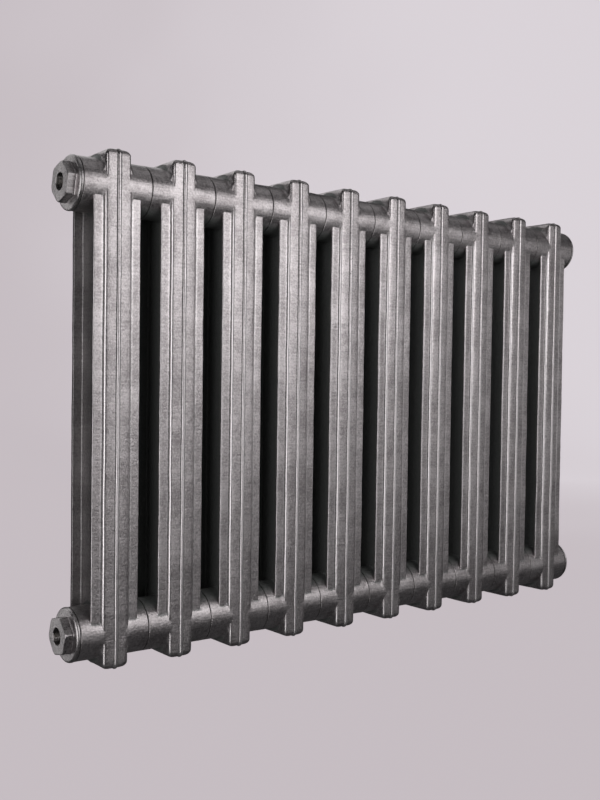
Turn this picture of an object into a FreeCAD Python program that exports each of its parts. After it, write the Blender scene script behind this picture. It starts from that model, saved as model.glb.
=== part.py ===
"""Cast iron column radiator: ten hollow sections screwed together by nipples.

Millimetres, +Z up. X runs along the radiator, which is centred on x = 0. The front faces -Y and
the waterway axes lie in the plane y = 0. The lowest points of the sections touch z = 0.
"""
import FreeCAD
import Part
import math
import os

V = FreeCAD.Vector
X_AXIS = V(1, 0, 0)
Y_AXIS = V(0, 1, 0)

# --- The whole radiator -----------------------------------------------------------------------
SECTION_COUNT = 10
SECTION_PITCH = 84.0          # one section with one joint gasket
HUB_CENTRES = 500.0           # height between the lower and the upper waterway axis
SECTION_DEPTH = 65.0          # front bead to rear bead
AXIS_TO_END = 39.0            # waterway axis to the nearer end of the section

# --- Front and rear bars, and the bead that runs round them -------------------------------------
BAR_HALF_WIDTH = 17.0         # between the hubs
HEAD_HALF_WIDTH = 15.4        # above the upper and below the lower waterway axis
FLARE_HEIGHT = 18.0           # height over which the bar widens from head to column
BAR_EDGE_RADIUS = 3.0         # long edges of the bar
HEAD_CORNER_RADIUS = 7.0      # corners of the bar in the front view
HEAD_NOSE_RADIUS = 6.0        # corners of the bar in the side view
BEAD_HALF_WIDTH = 2.4
BEAD_RISE = 2.0               # bead above the bar's face
BEAD_END_RISE = 0.8           # bead above the top and below the bottom of the bar

# --- Fins ---------------------------------------------------------------------------------------
FIN_HALF_WIDTH = 29.0
FIN_THICKNESS = 4.0
FIN_SETBACK = 3.6             # bar's face to fin's face
FIN_END_FROM_AXIS = 12.0      # fin's end to the waterway axis
FIN_CORNER_RADIUS = 3.0
FIN_EDGE_RADIUS = 1.4
FIN_ROOT_RADIUS = 2.5         # fillet between the fin's back and the column

# --- Hubs and waterways -------------------------------------------------------------------------
HUB_RADIUS = 30.4
HUB_EDGE_CHAMFER = 0.5
HUB_ROOT_RADIUS = 5.0         # fillet between the hub and the flank of the head
HUB_WALL = 4.6                # round the chamber inside each hub
COLUMN_WALL = 3.8
CHANNEL_CORNER_RADIUS = 8.0

# --- Threaded joints ----------------------------------------------------------------------------
THREAD_RADIUS = 20.2          # pitch radius of the 1 1/4 inch pipe thread, kept as a plain bore
THREAD_DEPTH = 20.0           # threaded length at each end of a hub
THREAD_GAP = 0.08             # radial clearance of a male thread in its bore
GASKET_THICKNESS = 1.2
GASKET_OUTER_INSET = 0.7      # gasket's edge inside the hub's edge
GASKET_INNER_GAP = 0.6        # gasket's hole round the thread

# --- Nipples ------------------------------------------------------------------------------------
NIPPLE_REACH = 17.0           # into each section
NIPPLE_WALL = 3.6
NIPPLE_LUG_HEIGHT = 3.5       # two inner lugs that the assembly key turns
NIPPLE_LUG_WIDTH = 6.0
NIPPLE_END_CHAMFER = 1.2

# --- End fittings: bushes on the left, blind plugs on the right ----------------------------------
FLANGE_RADIUS = 30.8
FLANGE_THICKNESS = 4.4
FLANGE_RIM_RADIUS = 2.8
HEX_ACROSS_FLATS = 40.0
HEX_HEIGHT = 10.0
HEX_CORNER_TRIM = 2.0         # taken off each outer corner's radius
HEX_TRIM_DEGREES = 30.0       # slope of that chamfer
TOP_HEX_TURN = 44.0           # degrees that a corner stands round from the rear, as screwed tight
BOTTOM_HEX_TURN = -12.0
SHANK_LENGTH = 16.0
SHANK_END_CHAMFER = 1.2
BUSH_BORE_RADIUS = 9.3        # minor radius of the 1/2 inch pipe thread
BUSH_BORE_CHAMFER = 0.8
PLUG_SHANK_WALL = 5.0         # round the hollow in a blind plug's shank
PLUG_FLOOR = 4.0              # left between that hollow and the flange's face

# --- Worked out from the values above -----------------------------------------------------------
HALF_DEPTH = SECTION_DEPTH / 2
PANEL_Y = HALF_DEPTH - BEAD_RISE
FIN_FACE_Y = PANEL_Y - FIN_SETBACK
FIN_BACK_Y = FIN_FACE_Y - FIN_THICKNESS
SECTION_HEIGHT = HUB_CENTRES + 2 * AXIS_TO_END
LOWER_AXIS_Z = AXIS_TO_END
UPPER_AXIS_Z = AXIS_TO_END + HUB_CENTRES
HUB_LENGTH = SECTION_PITCH - GASKET_THICKNESS
MALE_RADIUS = THREAD_RADIUS - THREAD_GAP
GASKET_INNER_RADIUS = THREAD_RADIUS + GASKET_INNER_GAP
GASKET_OUTER_RADIUS = HUB_RADIUS - GASKET_OUTER_INSET
BAR_BOTTOM_Z = BEAD_END_RISE
BAR_TOP_Z = SECTION_HEIGHT - BEAD_END_RISE


# --- Small helpers ------------------------------------------------------------------------------
def line(a, b):
    return Part.makeLine(a, b)


def arc(centre, radius, start, end, place):
    """Arc edge from start to end degrees; place turns two plane coordinates into a point."""
    def point(degrees):
        angle = math.radians(degrees)
        return place(centre[0] + radius * math.cos(angle), centre[1] + radius * math.sin(angle))
    return Part.Arc(point(start), point((start + end) / 2), point(end)).toShape()


def in_xz(x, z):
    return V(x, 0, z)


def in_yz(y, z):
    return V(0, y, z)


def in_xy(x, y):
    return V(x, y, 0)


def rounded_rectangle(low, high, radius, place):
    """Wire of a rectangle with round corners, given by two opposite corners."""
    (a0, b0), (a1, b1) = low, high
    corners = [(a1 - radius, b1 - radius, 0), (a0 + radius, b1 - radius, 90),
               (a0 + radius, b0 + radius, 180), (a1 - radius, b0 + radius, 270)]
    arcs = [arc((a, b), radius, turn, turn + 90, place) for a, b, turn in corners]
    edges = []
    for index, edge in enumerate(arcs):
        following = arcs[(index + 1) % len(arcs)]
        edges.append(edge)
        edges.append(line(edge.lastVertex().Point, following.firstVertex().Point))
    return Part.Wire(Part.__sortEdges__(edges))


def prism(wire, start, direction):
    """Solid of a flat wire moved to start and carried along direction."""
    moved = wire.copy()
    moved.translate(start)
    return Part.Face(moved).extrude(direction)


def round_rim(solid, axis, place, radius):
    """Round the edges of the faces that lie square to axis at plus and minus place."""
    edges = []
    for edge in solid.Edges:
        offsets = [abs(vertex.Point.dot(axis)) for vertex in edge.Vertexes]
        middle = abs(edge.valueAt((edge.FirstParameter + edge.LastParameter) / 2).dot(axis))
        if all(abs(offset - place) < 1e-6 for offset in offsets + [middle]):
            edges.append(edge)
    return solid.makeFillet(radius, edges)


def revolved(points, axis_z=0.0):
    """Solid of a closed (x, radius) outline turned round the line y = 0, z = axis_z."""
    vertices = [V(x, 0, axis_z + radius) for x, radius in points]
    face = Part.Face(Part.makePolygon(vertices + vertices[:1]))
    return face.revolve(V(0, 0, axis_z), X_AXIS, 360)


def tube(x_low, x_high, outer, inner, axis_z=0.0):
    ring = Part.makeCylinder(outer, x_high - x_low, V(x_low, 0, axis_z), X_AXIS)
    return ring.cut(Part.makeCylinder(inner, x_high - x_low, V(x_low, 0, axis_z), X_AXIS))


def mirrored_in_x(shape):
    return shape.mirror(V(0, 0, 0), X_AXIS)


def single_solid(shape, name):
    solids = shape.Solids
    if len(solids) != 1 or not solids[0].isValid():
        raise ValueError(f"{name} is {len(solids)} solids, valid {shape.isValid()}")
    return solids[0]


# --- The section --------------------------------------------------------------------------------
def flare(side, narrow_z, wide_z):
    """Two equal tangent arcs that take the bar's edge from head width to column width."""
    step = BAR_HALF_WIDTH - HEAD_HALF_WIDTH
    rise = wide_z - narrow_z
    radius = (rise * rise + step * step) / (4 * step)
    half_turn = math.asin(abs(rise) / 2 / radius) / 2
    toward = math.copysign(1.0, rise)

    def at(x, z):
        return V(side * x, 0, z)

    middle = at((HEAD_HALF_WIDTH + BAR_HALF_WIDTH) / 2, (narrow_z + wide_z) / 2)
    sag = radius * (1 - math.cos(half_turn))
    lift = toward * radius * math.sin(half_turn)
    first = Part.Arc(at(HEAD_HALF_WIDTH, narrow_z), at(HEAD_HALF_WIDTH + sag, narrow_z + lift), middle)
    second = Part.Arc(middle, at(BAR_HALF_WIDTH - sag, wide_z - lift), at(BAR_HALF_WIDTH, wide_z))
    return [first.toShape(), second.toShape()]


def bar_side(side):
    """Edges of one side of the bar's outline in the front view, between its end faces."""
    corner_x = HEAD_HALF_WIDTH - HEAD_CORNER_RADIUS
    low_z = BAR_BOTTOM_Z + HEAD_CORNER_RADIUS
    high_z = BAR_TOP_Z - HEAD_CORNER_RADIUS
    half = FLARE_HEIGHT / 2

    def place(x, z):
        return V(side * x, 0, z)

    edges = [arc((corner_x, low_z), HEAD_CORNER_RADIUS, -90, 0, place)]
    edges.append(line(place(HEAD_HALF_WIDTH, low_z), place(HEAD_HALF_WIDTH, LOWER_AXIS_Z - half)))
    edges += flare(side, LOWER_AXIS_Z - half, LOWER_AXIS_Z + half)
    edges.append(line(place(BAR_HALF_WIDTH, LOWER_AXIS_Z + half),
                      place(BAR_HALF_WIDTH, UPPER_AXIS_Z - half)))
    edges += flare(side, UPPER_AXIS_Z + half, UPPER_AXIS_Z - half)
    edges.append(line(place(HEAD_HALF_WIDTH, UPPER_AXIS_Z + half), place(HEAD_HALF_WIDTH, high_z)))
    edges.append(arc((corner_x, high_z), HEAD_CORNER_RADIUS, 0, 90, place))
    return edges


def section_core():
    """Front bar, rear bar and the column between them, before the waterway is cut."""
    corner_x = HEAD_HALF_WIDTH - HEAD_CORNER_RADIUS
    edges = bar_side(1) + bar_side(-1)
    for z in (BAR_BOTTOM_Z, BAR_TOP_Z):
        edges.append(line(in_xz(-corner_x, z), in_xz(corner_x, z)))
    outline = Part.Wire(Part.__sortEdges__(edges))
    core = prism(outline, V(0, -PANEL_Y, 0), V(0, 2 * PANEL_Y, 0))
    core = round_rim(core, Y_AXIS, PANEL_Y, BAR_EDGE_RADIUS)
    side_view = rounded_rectangle((-PANEL_Y, BAR_BOTTOM_Z), (PANEL_Y, BAR_TOP_Z), HEAD_NOSE_RADIUS, in_yz)
    return core.common(prism(side_view, V(-BAR_HALF_WIDTH, 0, 0), V(2 * BAR_HALF_WIDTH, 0, 0)))


def section_bead():
    """Rounded bead round the whole section in its middle plane."""
    radius = HEAD_NOSE_RADIUS + BEAD_END_RISE
    wire = rounded_rectangle((-HALF_DEPTH, 0), (HALF_DEPTH, SECTION_HEIGHT), radius, in_yz)
    bead = prism(wire, V(-BEAD_HALF_WIDTH, 0, 0), V(2 * BEAD_HALF_WIDTH, 0, 0))
    return round_rim(bead, X_AXIS, BEAD_HALF_WIDTH, min(BEAD_RISE, BEAD_HALF_WIDTH * 0.9))


def section_fin():
    """Front fin: a plate behind the bar's face, from one hub to the other."""
    low = (-FIN_HALF_WIDTH, LOWER_AXIS_Z + FIN_END_FROM_AXIS)
    high = (FIN_HALF_WIDTH, UPPER_AXIS_Z - FIN_END_FROM_AXIS)
    plate = prism(rounded_rectangle(low, high, FIN_CORNER_RADIUS, in_xz), V(0, -FIN_THICKNESS / 2, 0),
                  V(0, FIN_THICKNESS, 0))
    plate = round_rim(plate, Y_AXIS, FIN_THICKNESS / 2, min(FIN_EDGE_RADIUS, FIN_THICKNESS * 0.45))
    plate.translate(V(0, FIN_THICKNESS / 2 - FIN_FACE_Y, 0))
    return plate


def fin_root(side_x, side_y):
    """Concave fillet in the corner of the column's side and the fin's back."""
    radius = FIN_ROOT_RADIUS

    def place(x, y):
        return V(side_x * (BAR_HALF_WIDTH + x), side_y * (FIN_BACK_Y - y), 0)

    overlap = 0.5
    edges = [arc((radius, radius), radius, 180, 270, place),
             line(place(radius, 0), place(radius, -overlap)),
             line(place(radius, -overlap), place(-overlap, -overlap)),
             line(place(-overlap, -overlap), place(-overlap, radius)),
             line(place(-overlap, radius), place(0, radius))]
    wire = Part.Wire(Part.__sortEdges__(edges))
    low_z = LOWER_AXIS_Z + FIN_END_FROM_AXIS + FIN_CORNER_RADIUS
    high_z = UPPER_AXIS_Z - FIN_END_FROM_AXIS - FIN_CORNER_RADIUS
    return prism(wire, V(0, 0, low_z), V(0, 0, high_z - low_z))


def hub(axis_z):
    half = HUB_LENGTH / 2
    chamfer = HUB_EDGE_CHAMFER
    outline = [(-half, 0), (-half, HUB_RADIUS - chamfer), (-half + chamfer, HUB_RADIUS),
               (half - chamfer, HUB_RADIUS), (half, HUB_RADIUS - chamfer), (half, 0)]
    return revolved(outline, axis_z)


def hub_root(axis_z):
    """Collar with a concave outline where the hub leaves the flanks of the head."""
    radius = HUB_ROOT_RADIUS
    near = HEAD_HALF_WIDTH
    top = axis_z + HUB_RADIUS + radius

    def place(x, z):
        return V(x, 0, z)

    edges = [arc((near + radius, top), radius, 180, 270, place),
             line(place(near + radius, axis_z + HUB_RADIUS), place(near + radius, axis_z)),
             line(place(near + radius, axis_z), place(0, axis_z)),
             line(place(0, axis_z), place(0, top)),
             line(place(0, top), place(near, top))]
    face = Part.Face(Part.Wire(Part.__sortEdges__(edges)))
    collar = face.revolve(V(0, 0, axis_z), X_AXIS, 360)
    collar = collar.fuse(mirrored_in_x(collar))
    reach = near + radius
    limit_y = PANEL_Y - BAR_EDGE_RADIUS
    low_z = BAR_BOTTOM_Z + BEAD_END_RISE
    high_z = BAR_TOP_Z - BEAD_END_RISE
    room = Part.makeBox(2 * reach, 2 * limit_y, high_z - low_z, V(-reach, -limit_y, low_z))
    return collar.common(room)


def waterway():
    """The hollow in a section: two threaded headers, their chambers and the column channel."""
    half = HUB_LENGTH / 2
    chamber_half = half - THREAD_DEPTH
    parts = []
    for axis_z in (LOWER_AXIS_Z, UPPER_AXIS_Z):
        parts.append(Part.makeCylinder(THREAD_RADIUS, 2 * half, V(-half, 0, axis_z), X_AXIS))
        parts.append(Part.makeCylinder(HUB_RADIUS - HUB_WALL, 2 * chamber_half,
                                       V(-chamber_half, 0, axis_z), X_AXIS))
    half_x = BAR_HALF_WIDTH - COLUMN_WALL
    half_y = PANEL_Y - COLUMN_WALL
    channel = rounded_rectangle((-half_x, -half_y), (half_x, half_y), CHANNEL_CORNER_RADIUS, in_xy)
    parts.append(prism(channel, V(0, 0, LOWER_AXIS_Z), V(0, 0, HUB_CENTRES)))
    return parts[0].fuse(parts[1:])


def section():
    """One cast section, centred on x = 0."""
    front_fin = section_fin()
    rear_fin = front_fin.mirror(V(0, 0, 0), Y_AXIS)
    roots = [fin_root(side_x, side_y) for side_x in (-1, 1) for side_y in (-1, 1)]
    hubs = [make(axis_z) for axis_z in (LOWER_AXIS_Z, UPPER_AXIS_Z) for make in (hub, hub_root)]
    body = section_core().fuse([section_bead(), front_fin, rear_fin] + roots + hubs)
    return single_solid(body.cut(waterway()).removeSplitter(), "section")


# --- Joints between the sections ----------------------------------------------------------------
def nipple():
    """Threaded barrel that draws two sections together, with two lugs for the key inside."""
    half = GASKET_THICKNESS / 2 + NIPPLE_REACH
    chamfer = NIPPLE_END_CHAMFER
    inner = MALE_RADIUS - NIPPLE_WALL
    outline = [(-half, inner), (-half, MALE_RADIUS - chamfer), (-half + chamfer, MALE_RADIUS),
               (half - chamfer, MALE_RADIUS), (half, MALE_RADIUS - chamfer), (half, inner)]
    barrel = revolved(outline)
    lugs = []
    for side in (-1, 1):
        base = inner + NIPPLE_WALL / 2
        centre = side * (base - NIPPLE_LUG_HEIGHT + base) / 2
        height = NIPPLE_LUG_HEIGHT
        corner = V(-half, -NIPPLE_LUG_WIDTH / 2, centre - height / 2)
        lugs.append(Part.makeBox(2 * half, NIPPLE_LUG_WIDTH, height, corner))
    return single_solid(barrel.fuse(lugs).removeSplitter(), "nipple")


def gasket():
    half = GASKET_THICKNESS / 2
    return tube(-half, half, GASKET_OUTER_RADIUS, GASKET_INNER_RADIUS)


# --- End fittings, made with the hub's end face at x = 0 and the fitting pointing along +X --------
def hexagon(turn_degrees):
    """Hexagon head with its outer corners turned to a cone."""
    start = GASKET_THICKNESS + FLANGE_THICKNESS
    end = start + HEX_HEIGHT
    corner_radius = HEX_ACROSS_FLATS / 2 / math.cos(math.radians(30))
    corners = []
    for index in range(6):
        angle = math.radians(60 * index + turn_degrees)
        corners.append(V(start, corner_radius * math.cos(angle), corner_radius * math.sin(angle)))
    head = Part.Face(Part.makePolygon(corners + corners[:1])).extrude(V(HEX_HEIGHT, 0, 0))
    drop = HEX_CORNER_TRIM * math.tan(math.radians(HEX_TRIM_DEGREES))
    cone = revolved([(start, 0), (start, corner_radius), (end - drop, corner_radius),
                     (end, corner_radius - HEX_CORNER_TRIM), (end, 0)])
    return head.common(cone)


def fitting_blank(turn_degrees):
    """Shank, flange and hexagon, still solid."""
    inner_x = GASKET_THICKNESS
    outer_x = inner_x + FLANGE_THICKNESS
    flange = Part.makeCylinder(FLANGE_RADIUS, FLANGE_THICKNESS, V(inner_x, 0, 0), X_AXIS)
    rim = [edge for edge in flange.Edges if edge.Closed and abs(edge.valueAt(0).x - outer_x) < 1e-6]
    flange = flange.makeFillet(FLANGE_RIM_RADIUS, rim)
    chamfer = SHANK_END_CHAMFER
    shank = revolved([(-SHANK_LENGTH, 0), (-SHANK_LENGTH, MALE_RADIUS - chamfer),
                      (-SHANK_LENGTH + chamfer, MALE_RADIUS), (inner_x, MALE_RADIUS), (inner_x, 0)])
    return flange.fuse([hexagon(turn_degrees), shank])


def bush(turn_degrees):
    """Reducing bush with a threaded bore right through it."""
    end = GASKET_THICKNESS + FLANGE_THICKNESS + HEX_HEIGHT
    mouth = BUSH_BORE_RADIUS + BUSH_BORE_CHAMFER
    bore = revolved([(-SHANK_LENGTH, 0), (-SHANK_LENGTH, BUSH_BORE_RADIUS),
                     (end - BUSH_BORE_CHAMFER, BUSH_BORE_RADIUS), (end, mouth), (end, 0)])
    return single_solid(fitting_blank(turn_degrees).cut(bore).removeSplitter(), "bush")


def blind_plug(turn_degrees):
    """Plug with a closed face and a hollow shank."""
    depth = SHANK_LENGTH + GASKET_THICKNESS + FLANGE_THICKNESS - PLUG_FLOOR
    hollow = Part.makeCylinder(MALE_RADIUS - PLUG_SHANK_WALL, depth, V(-SHANK_LENGTH, 0, 0), X_AXIS)
    return single_solid(fitting_blank(turn_degrees).cut(hollow).removeSplitter(), "plug")


def end_gasket():
    return tube(0, GASKET_THICKNESS, GASKET_OUTER_RADIUS, GASKET_INNER_RADIUS)


# --- Assembly -----------------------------------------------------------------------------------
def moved(shape, x, z):
    copy = shape.copy()
    copy.translate(V(x, 0, z))
    return copy


def build():
    """Every node of the radiator by name."""
    nodes = {}
    one_section = section()
    one_nipple = nipple()
    one_gasket = gasket()
    first_x = -SECTION_PITCH * (SECTION_COUNT - 1) / 2
    levels = {"top": UPPER_AXIS_Z, "bottom": LOWER_AXIS_Z}
    for index in range(SECTION_COUNT):
        nodes[f"section_{index + 1:02d}"] = moved(one_section, first_x + index * SECTION_PITCH, 0)
    for level, axis_z in levels.items():
        for index in range(SECTION_COUNT - 1):
            joint_x = first_x + (index + 0.5) * SECTION_PITCH
            nodes[f"nipple_{level}_{index + 1:02d}"] = moved(one_nipple, joint_x, axis_z)
            nodes[f"gasket_{level}_{index + 1:02d}"] = moved(one_gasket, joint_x, axis_z)
    end_x = (SECTION_COUNT - 1) * SECTION_PITCH / 2 + HUB_LENGTH / 2
    for level, axis_z in levels.items():
        turn = TOP_HEX_TURN if level == "top" else BOTTOM_HEX_TURN
        left = mirrored_in_x(bush(turn))
        nodes[f"bush_{level}_left"] = moved(left, -end_x, axis_z)
        nodes[f"plug_{level}_right"] = moved(blind_plug(turn), end_x, axis_z)
        nodes[f"gasket_{level}_left_end"] = moved(mirrored_in_x(end_gasket()), -end_x, axis_z)
        nodes[f"gasket_{level}_right_end"] = moved(end_gasket(), end_x, axis_z)
    return nodes


os.makedirs("parts", exist_ok=True)
for node_name, node_shape in build().items():
    solid = single_solid(node_shape, node_name)
    solid.exportStep(f"parts/{node_name}.step")
    box = solid.BoundBox
    print(f"{node_name}: {solid.Volume / 1000:.1f} cm3, "
          f"{box.XLength:.1f} x {box.YLength:.1f} x {box.ZLength:.1f} mm")
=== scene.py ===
# %% [markdown]
# # A cast iron radiator in bare, burnished iron
# Ten hollow sections stand side by side. Each is one casting: a bar in front and one behind, a
# hollow column between them, a bead down the middle, a flat fin to each side, and a round hub at
# the top and at the bottom. The hubs are screwed together, so they read as two long pipes.
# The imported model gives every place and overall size. What it can't say, such as the width of
# a bar, is repeated here in millimetres, and the looks are then built round it in metres.

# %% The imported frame
import bpy
import math
import numpy as np
from mathutils import Matrix, Vector


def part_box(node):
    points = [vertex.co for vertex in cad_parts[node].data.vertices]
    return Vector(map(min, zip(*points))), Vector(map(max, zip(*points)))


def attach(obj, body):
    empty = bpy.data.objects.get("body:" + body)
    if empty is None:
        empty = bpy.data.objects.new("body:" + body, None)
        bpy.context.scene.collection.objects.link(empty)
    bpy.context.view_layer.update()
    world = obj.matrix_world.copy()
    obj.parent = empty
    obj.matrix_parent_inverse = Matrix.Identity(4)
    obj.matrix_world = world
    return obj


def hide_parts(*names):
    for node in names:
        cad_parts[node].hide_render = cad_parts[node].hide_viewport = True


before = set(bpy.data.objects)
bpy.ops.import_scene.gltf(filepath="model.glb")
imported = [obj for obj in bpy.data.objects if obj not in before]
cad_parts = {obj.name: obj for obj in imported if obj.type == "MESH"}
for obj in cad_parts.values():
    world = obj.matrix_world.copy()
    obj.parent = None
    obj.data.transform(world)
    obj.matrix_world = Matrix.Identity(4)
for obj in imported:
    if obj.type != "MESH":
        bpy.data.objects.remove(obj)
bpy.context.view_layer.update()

# %% Places read from the frame
MM = 0.001
SECTIONS = sorted(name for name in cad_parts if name.startswith("section_"))
GASKETS = sorted(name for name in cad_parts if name.startswith("gasket_"))
NIPPLES = sorted(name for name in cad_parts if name.startswith("nipple_"))
FITTINGS = sorted(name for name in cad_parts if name.startswith(("bush_", "plug_")))


def centre(node):
    """Middle of a node's box."""
    low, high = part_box(node)
    return np.array((low + high) / 2)


section_low, section_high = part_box(SECTIONS[0])
HUB_LENGTH = section_high.x - section_low.x
HALF_DEPTH = section_high.y
HEIGHT = section_high.z
LOWER_AXIS = centre("nipple_bottom_01")[2]
UPPER_AXIS = centre("nipple_top_01")[2]
gasket_low, gasket_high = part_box("gasket_top_01")
GASKET_THICKNESS = gasket_high.x - gasket_low.x
MALE_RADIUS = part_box("nipple_top_01")[1].y
print(len(SECTIONS), "sections,", len(GASKETS), "gaskets; hub axes at", LOWER_AXIS, UPPER_AXIS)

# %% [markdown]
# ## The camera
# A picture of a radiator is usually taken from one side, so that the depth of the bars shows. A
# camera is placed by its position and three turns: yaw to the right, pitch upwards and a slight
# roll. The lens is a little longer than a normal one, which keeps the bars from fanning out.

# %% The camera
CAMERA_PLACE = (-0.8867, -1.0179, 0.3223)
CAMERA_YAW = 0.65355
CAMERA_PITCH = -0.0293
CAMERA_ROLL = 0.0130
SENSOR_WIDTH_MM = 36
LENS_MM = 44.43
camera_data = bpy.data.cameras.new("camera")
camera_data.sensor_width = SENSOR_WIDTH_MM
camera_data.lens = LENS_MM
camera_data.shift_x = 0.0060
camera_data.shift_y = 0.0151
camera = bpy.data.objects.new("camera", camera_data)
bpy.context.scene.collection.objects.link(camera)
turn = (Matrix.Rotation(-CAMERA_YAW, 4, "Z") @ Matrix.Rotation(math.pi / 2 + CAMERA_PITCH, 4, "X")
        @ Matrix.Rotation(CAMERA_ROLL, 4, "Z"))
camera.matrix_world = Matrix.Translation(CAMERA_PLACE) @ turn
bpy.context.scene.camera = camera
print("camera at", CAMERA_PLACE, "with a lens of", round(camera_data.lens, 1), "mm")

# %% [markdown]
# ## Surfaces from arrays
# Every new piece starts as a grid of points: the columns go round the piece and the rows along it.
# Numpy works the whole grid out at once, and two helpers turn any such grid into a closed mesh.
# A bar is closed with a fan of triangles at each end. A ring has no ends: its last row meets its
# first one. The sign of the enclosed volume tells whether the faces point outwards.


# %% From a grid of points to a closed mesh
ROUND_COLUMNS = 96


def grid_faces(rows, columns, rows_meet=False):
    """Quads of a grid whose columns close up. Point (i, j) joins (i, j+1), (i+1, j+1), (i+1, j).

    The grid of point numbers and that of each point's neighbour (i, j+1) come back as well.
    """
    index = np.arange(rows * columns).reshape(rows, columns)
    across = np.roll(index, -1, axis=1)
    start, beside = (index, across) if rows_meet else (index[:-1], across[:-1])
    above = np.roll(index, -1, axis=0) if rows_meet else index[1:]
    above_beside = np.roll(across, -1, axis=0) if rows_meet else across[1:]
    quads = np.stack([start, beside, above_beside, above], axis=-1).reshape(-1, 4)
    return quads, index, across


def closed_mesh(name, grid, rows_meet=False):
    """Mesh of a (rows, columns, 3) grid, with a fan of triangles over each end that is open."""
    rows, columns = grid.shape[:2]
    quads, index, across = grid_faces(rows, columns, rows_meet)
    points = grid.reshape(-1, 3)
    fans = np.zeros((0, 3), int)
    if not rows_meet:
        points = np.vstack([points, grid[0].mean(axis=0), grid[-1].mean(axis=0)])
        first = np.full(columns, rows * columns)
        fans = np.vstack([np.stack([across[0], index[0], first], axis=1),
                          np.stack([index[-1], across[-1], first + 1], axis=1)])
    triangles = np.vstack([quads[:, [0, 1, 2]], quads[:, [0, 2, 3]], fans])
    corners = points[triangles]
    volume = np.einsum("ij,ij->i", corners[:, 0], np.cross(corners[:, 1], corners[:, 2])).sum() / 6
    faces = quads.tolist() + fans.tolist()
    if volume < 0:
        faces = [face[::-1] for face in faces]
    mesh = bpy.data.meshes.new(name)
    mesh.from_pydata(points.tolist(), [], faces)
    return mesh


def add_object(name, mesh):
    """Object for a mesh, linked to the scene at the origin."""
    made = bpy.data.objects.new(name, mesh)
    bpy.context.scene.collection.objects.link(made)
    return made


print("helpers for closed meshes are ready")


# %% Outlines that go round a bar
def rounded_outline(corner_steps, x_stops, y_stops):
    """Rows (cx, ex, cy, ey) for the points round a rectangle with round corners.

    A point is x = cx * (half width - radius) + ex * radius, and the same in y. On a corner, e
    runs along a quarter circle. On a side, c runs from one corner to the next through the stops.
    """
    quarter = np.linspace(0, math.pi / 2, corner_steps + 1)
    signs = [(1, 1), (-1, 1), (-1, -1), (1, -1)]
    pieces = []
    for quarter_turn, (sign_x, sign_y) in enumerate(signs):
        angle = quarter + quarter_turn * math.pi / 2
        full = np.ones_like(angle)
        pieces.append(np.stack([sign_x * full, np.cos(angle), sign_y * full, np.sin(angle)], axis=1))
        next_x, next_y = signs[(quarter_turn + 1) % 4]
        stops = np.array(x_stops if quarter_turn % 2 == 0 else y_stops)
        flat = np.ones_like(stops)
        share = (stops + 1) / 2
        pieces.append(np.stack([sign_x + (next_x - sign_x) * share, np.cos(angle[-1]) * flat,
                                sign_y + (next_y - sign_y) * share, np.sin(angle[-1]) * flat],
                               axis=1))
    return np.concatenate(pieces)


def carried_up(outline, z, half_x, half_y, radius):
    """Grid of an outline carried along +Z. Each row has its own height, half widths and radius."""
    cx, ex, cy, ey = outline.T
    half_x, half_y, radius = (np.broadcast_to(value, z.shape)[:, None]
                              for value in (half_x, half_y, radius))
    x = cx * (half_x - radius) + ex * radius
    y = cy * (half_y - radius) + ey * radius
    return np.stack([x, y, np.broadcast_to(z[:, None], x.shape)], axis=-1)


def inset(distance, radius):
    """How far a quarter circle stands in from a side, at a distance from the end of that side."""
    short = np.clip(radius - distance, 0, radius)
    return radius - np.sqrt(radius ** 2 - short ** 2)


def end_spacing(low, high, radius, step, turn_steps=7):
    """Heights from low to high: close together over the round ends, a step apart between them."""
    end = radius * (1 - np.cos(np.linspace(0, math.pi / 2, turn_steps)))
    count = int(round((high - low - 2 * radius) / step))
    middle = np.linspace(low + radius, high - radius, count + 1)[1:-1]
    return np.concatenate([low + end, middle, high - end[::-1]])


print("helpers for outlines are ready")

# %% [markdown]
# ## One section
# The real section is poured in a sand mould, with a sand core for the waterway. Here it is built
# as a pattern maker would: simple closed shapes are joined, and the waterway is cut out of them.
# The boolean modifier does both. Its manifold solver is quick and keeps closed shapes closed.

# %% Sizes of the section
BAR_HALF_WIDTH = 17.0 * MM
HEAD_HALF_WIDTH = 15.4 * MM
FLARE_HEIGHT = 18.0 * MM
BAR_EDGE_RADIUS = 3.0 * MM
HEAD_CORNER_RADIUS = 7.0 * MM
HEAD_NOSE_RADIUS = 6.0 * MM
BEAD_HALF_WIDTH = 2.4 * MM
BEAD_RISE = 2.0 * MM
BEAD_END_RISE = 0.8 * MM
BEAD_DEPTH = 5.0 * MM
FIN_HALF_WIDTH = 29.0 * MM
FIN_THICKNESS = 4.0 * MM
FIN_SETBACK = 3.6 * MM
FIN_END_FROM_AXIS = 12.0 * MM
FIN_CORNER_RADIUS = 3.0 * MM
FIN_EDGE_RADIUS = 1.4 * MM
FIN_EDGE_SHARE = 0.99
FIN_ROOT_RADIUS = 2.5 * MM
HUB_RADIUS = 30.4 * MM
HUB_CHAMFER = 0.5 * MM
HUB_ROOT_RADIUS = 5.0 * MM
HUB_WALL = 4.6 * MM
COLUMN_WALL = 3.8 * MM
CHANNEL_CORNER_RADIUS = 8.0 * MM
THREAD_RADIUS = 20.2 * MM
THREAD_DEPTH = 20.0 * MM
ROW_STEP = 3.0 * MM
FACE_CROWN = 1.3 * MM
PANEL_Y = HALF_DEPTH - BEAD_RISE
FIN_FACE_Y = PANEL_Y - FIN_SETBACK
FIN_BACK_Y = FIN_FACE_Y - FIN_THICKNESS
FIN_LOW = LOWER_AXIS + FIN_END_FROM_AXIS
FIN_HIGH = UPPER_AXIS - FIN_END_FROM_AXIS
BAR_LOW = BEAD_END_RISE
BAR_HIGH = HEIGHT - BEAD_END_RISE
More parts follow.
